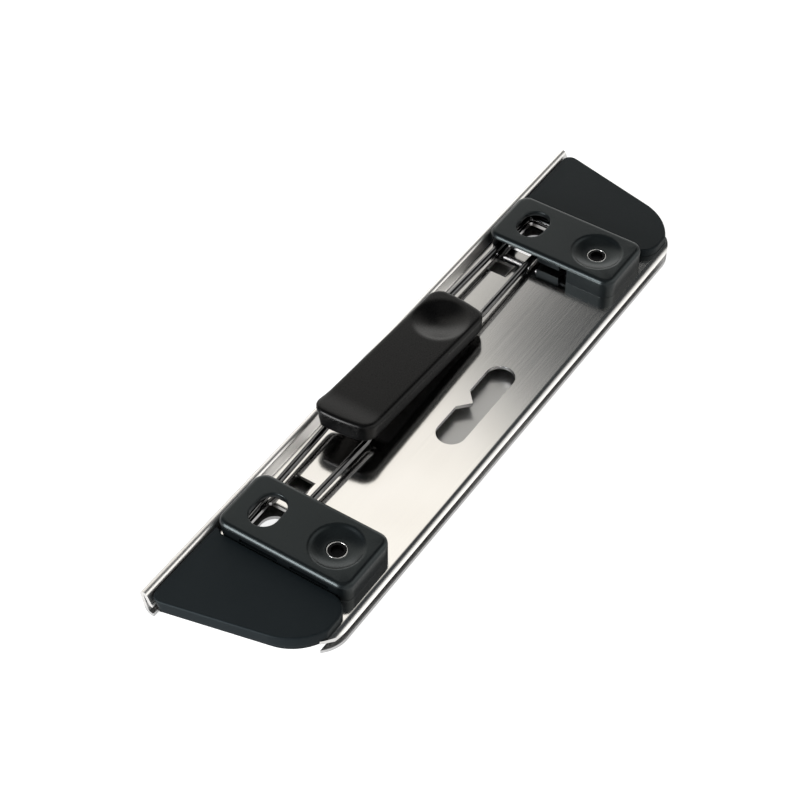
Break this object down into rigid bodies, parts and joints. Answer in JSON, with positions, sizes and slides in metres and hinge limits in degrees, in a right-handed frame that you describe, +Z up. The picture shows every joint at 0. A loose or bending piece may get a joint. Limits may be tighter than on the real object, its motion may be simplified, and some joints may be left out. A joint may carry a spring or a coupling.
{
  "type": "pocket hole punch",
  "caption": "Flat pocket hole punch: folded steel sheet with a paper channel, black housings over the punches, wire bails and a central thumb grip",
  "frame": {"origin": "centre of the underside", "axes": "+X along the length, +Y to the back fold, +Z up"},
  "size_m": [0.125, 0.0293, 0.0103],
  "materials": {
    "polished_steel": "polished stainless sheet",
    "cap_plastic": "fine matte",
    "housing_plastic": "matte",
    "grip_plastic": "satin",
    "chrome_wire": "bright",
    "pin_steel": "turned",
    "lever_steel": "stamped",
    "spring_steel": "drawn",
    "tool_steel": "ground"
  },
  "bodies": {
    "base": {"folded_body": "polished_steel", "end_cap_left": "cap_plastic", "housing_left": "housing_plastic", "rocker_pin_left": "pin_steel", "stem_bush_left": "chrome_wire", "die_bush_left": "tool_steel", "end_cap_right": "cap_plastic", "housing_right": "housing_plastic", "rocker_pin_right": "pin_steel", "stem_bush_right": "chrome_wire", "die_bush_right": "tool_steel"},
    "grip_body": {"grip": "grip_plastic", "grip_keeper": "cap_plastic"},
    "bail_left_body": {"bail_left": "chrome_wire", "bail_pin_left": "pin_steel"},
    "rocker_left_body": {"rocker_left": "lever_steel", "return_spring_left": "spring_steel"},
    "punch_left_body": {"punch_left": "tool_steel"},
    "bail_right_body": {"bail_right": "chrome_wire", "bail_pin_right": "pin_steel"},
    "rocker_right_body": {"rocker_right": "lever_steel", "return_spring_right": "spring_steel"},
    "punch_right_body": {"punch_right": "tool_steel"}
  },
  "joints": [
    {"name": "grip_press", "type": "slide", "parent": "base", "child": "grip_body", "axis": [0, 0, -1], "range_m": [0, 0.00125], "stiffness_N_per_m": 900, "springref_m": -0.0006},
    {"name": "bail_left_tilt", "type": "hinge", "parent": "base", "child": "bail_left_body", "pos_m": [-0.0356, 0.00695, 0.00502], "axis": [0, 1, 0], "range_deg": [0, 3.35]},
    {"name": "rocker_left_tilt", "type": "hinge", "parent": "base", "child": "rocker_left_body", "pos_m": [-0.04, -0.00045, 0.00455], "axis": [1, 0, 0], "range_deg": [0, 5.34]},
    {"name": "punch_left_slide", "type": "slide", "parent": "base", "child": "punch_left_body", "axis": [0, 0, -1], "range_m": [0, 0.00053092]},
    {"name": "bail_right_tilt", "type": "hinge", "parent": "base", "child": "bail_right_body", "pos_m": [0.0356, 0.00695, 0.00502], "axis": [0, -1, 0], "range_deg": [0, 3.35]},
    {"name": "rocker_right_tilt", "type": "hinge", "parent": "base", "child": "rocker_right_body", "pos_m": [0.04, -0.00045, 0.00455], "axis": [1, 0, 0], "range_deg": [0, 5.34]},
    {"name": "punch_right_slide", "type": "slide", "parent": "base", "child": "punch_right_body", "axis": [0, 0, -1], "range_m": [0, 0.00053092]}
  ],
  "couplings": [
    {"joint": "bail_left_tilt", "follows": "grip_press", "rad_per_m": 46.729},
    {"joint": "rocker_left_tilt", "follows": "grip_press", "rad_per_m": 74.514},
    {"joint": "punch_left_slide", "follows": "grip_press", "ratio": 0.42473},
    {"joint": "bail_right_tilt", "follows": "grip_press", "rad_per_m": 46.729},
    {"joint": "rocker_right_tilt", "follows": "grip_press", "rad_per_m": 74.514},
    {"joint": "punch_right_slide", "follows": "grip_press", "ratio": 0.42473}
  ]
}
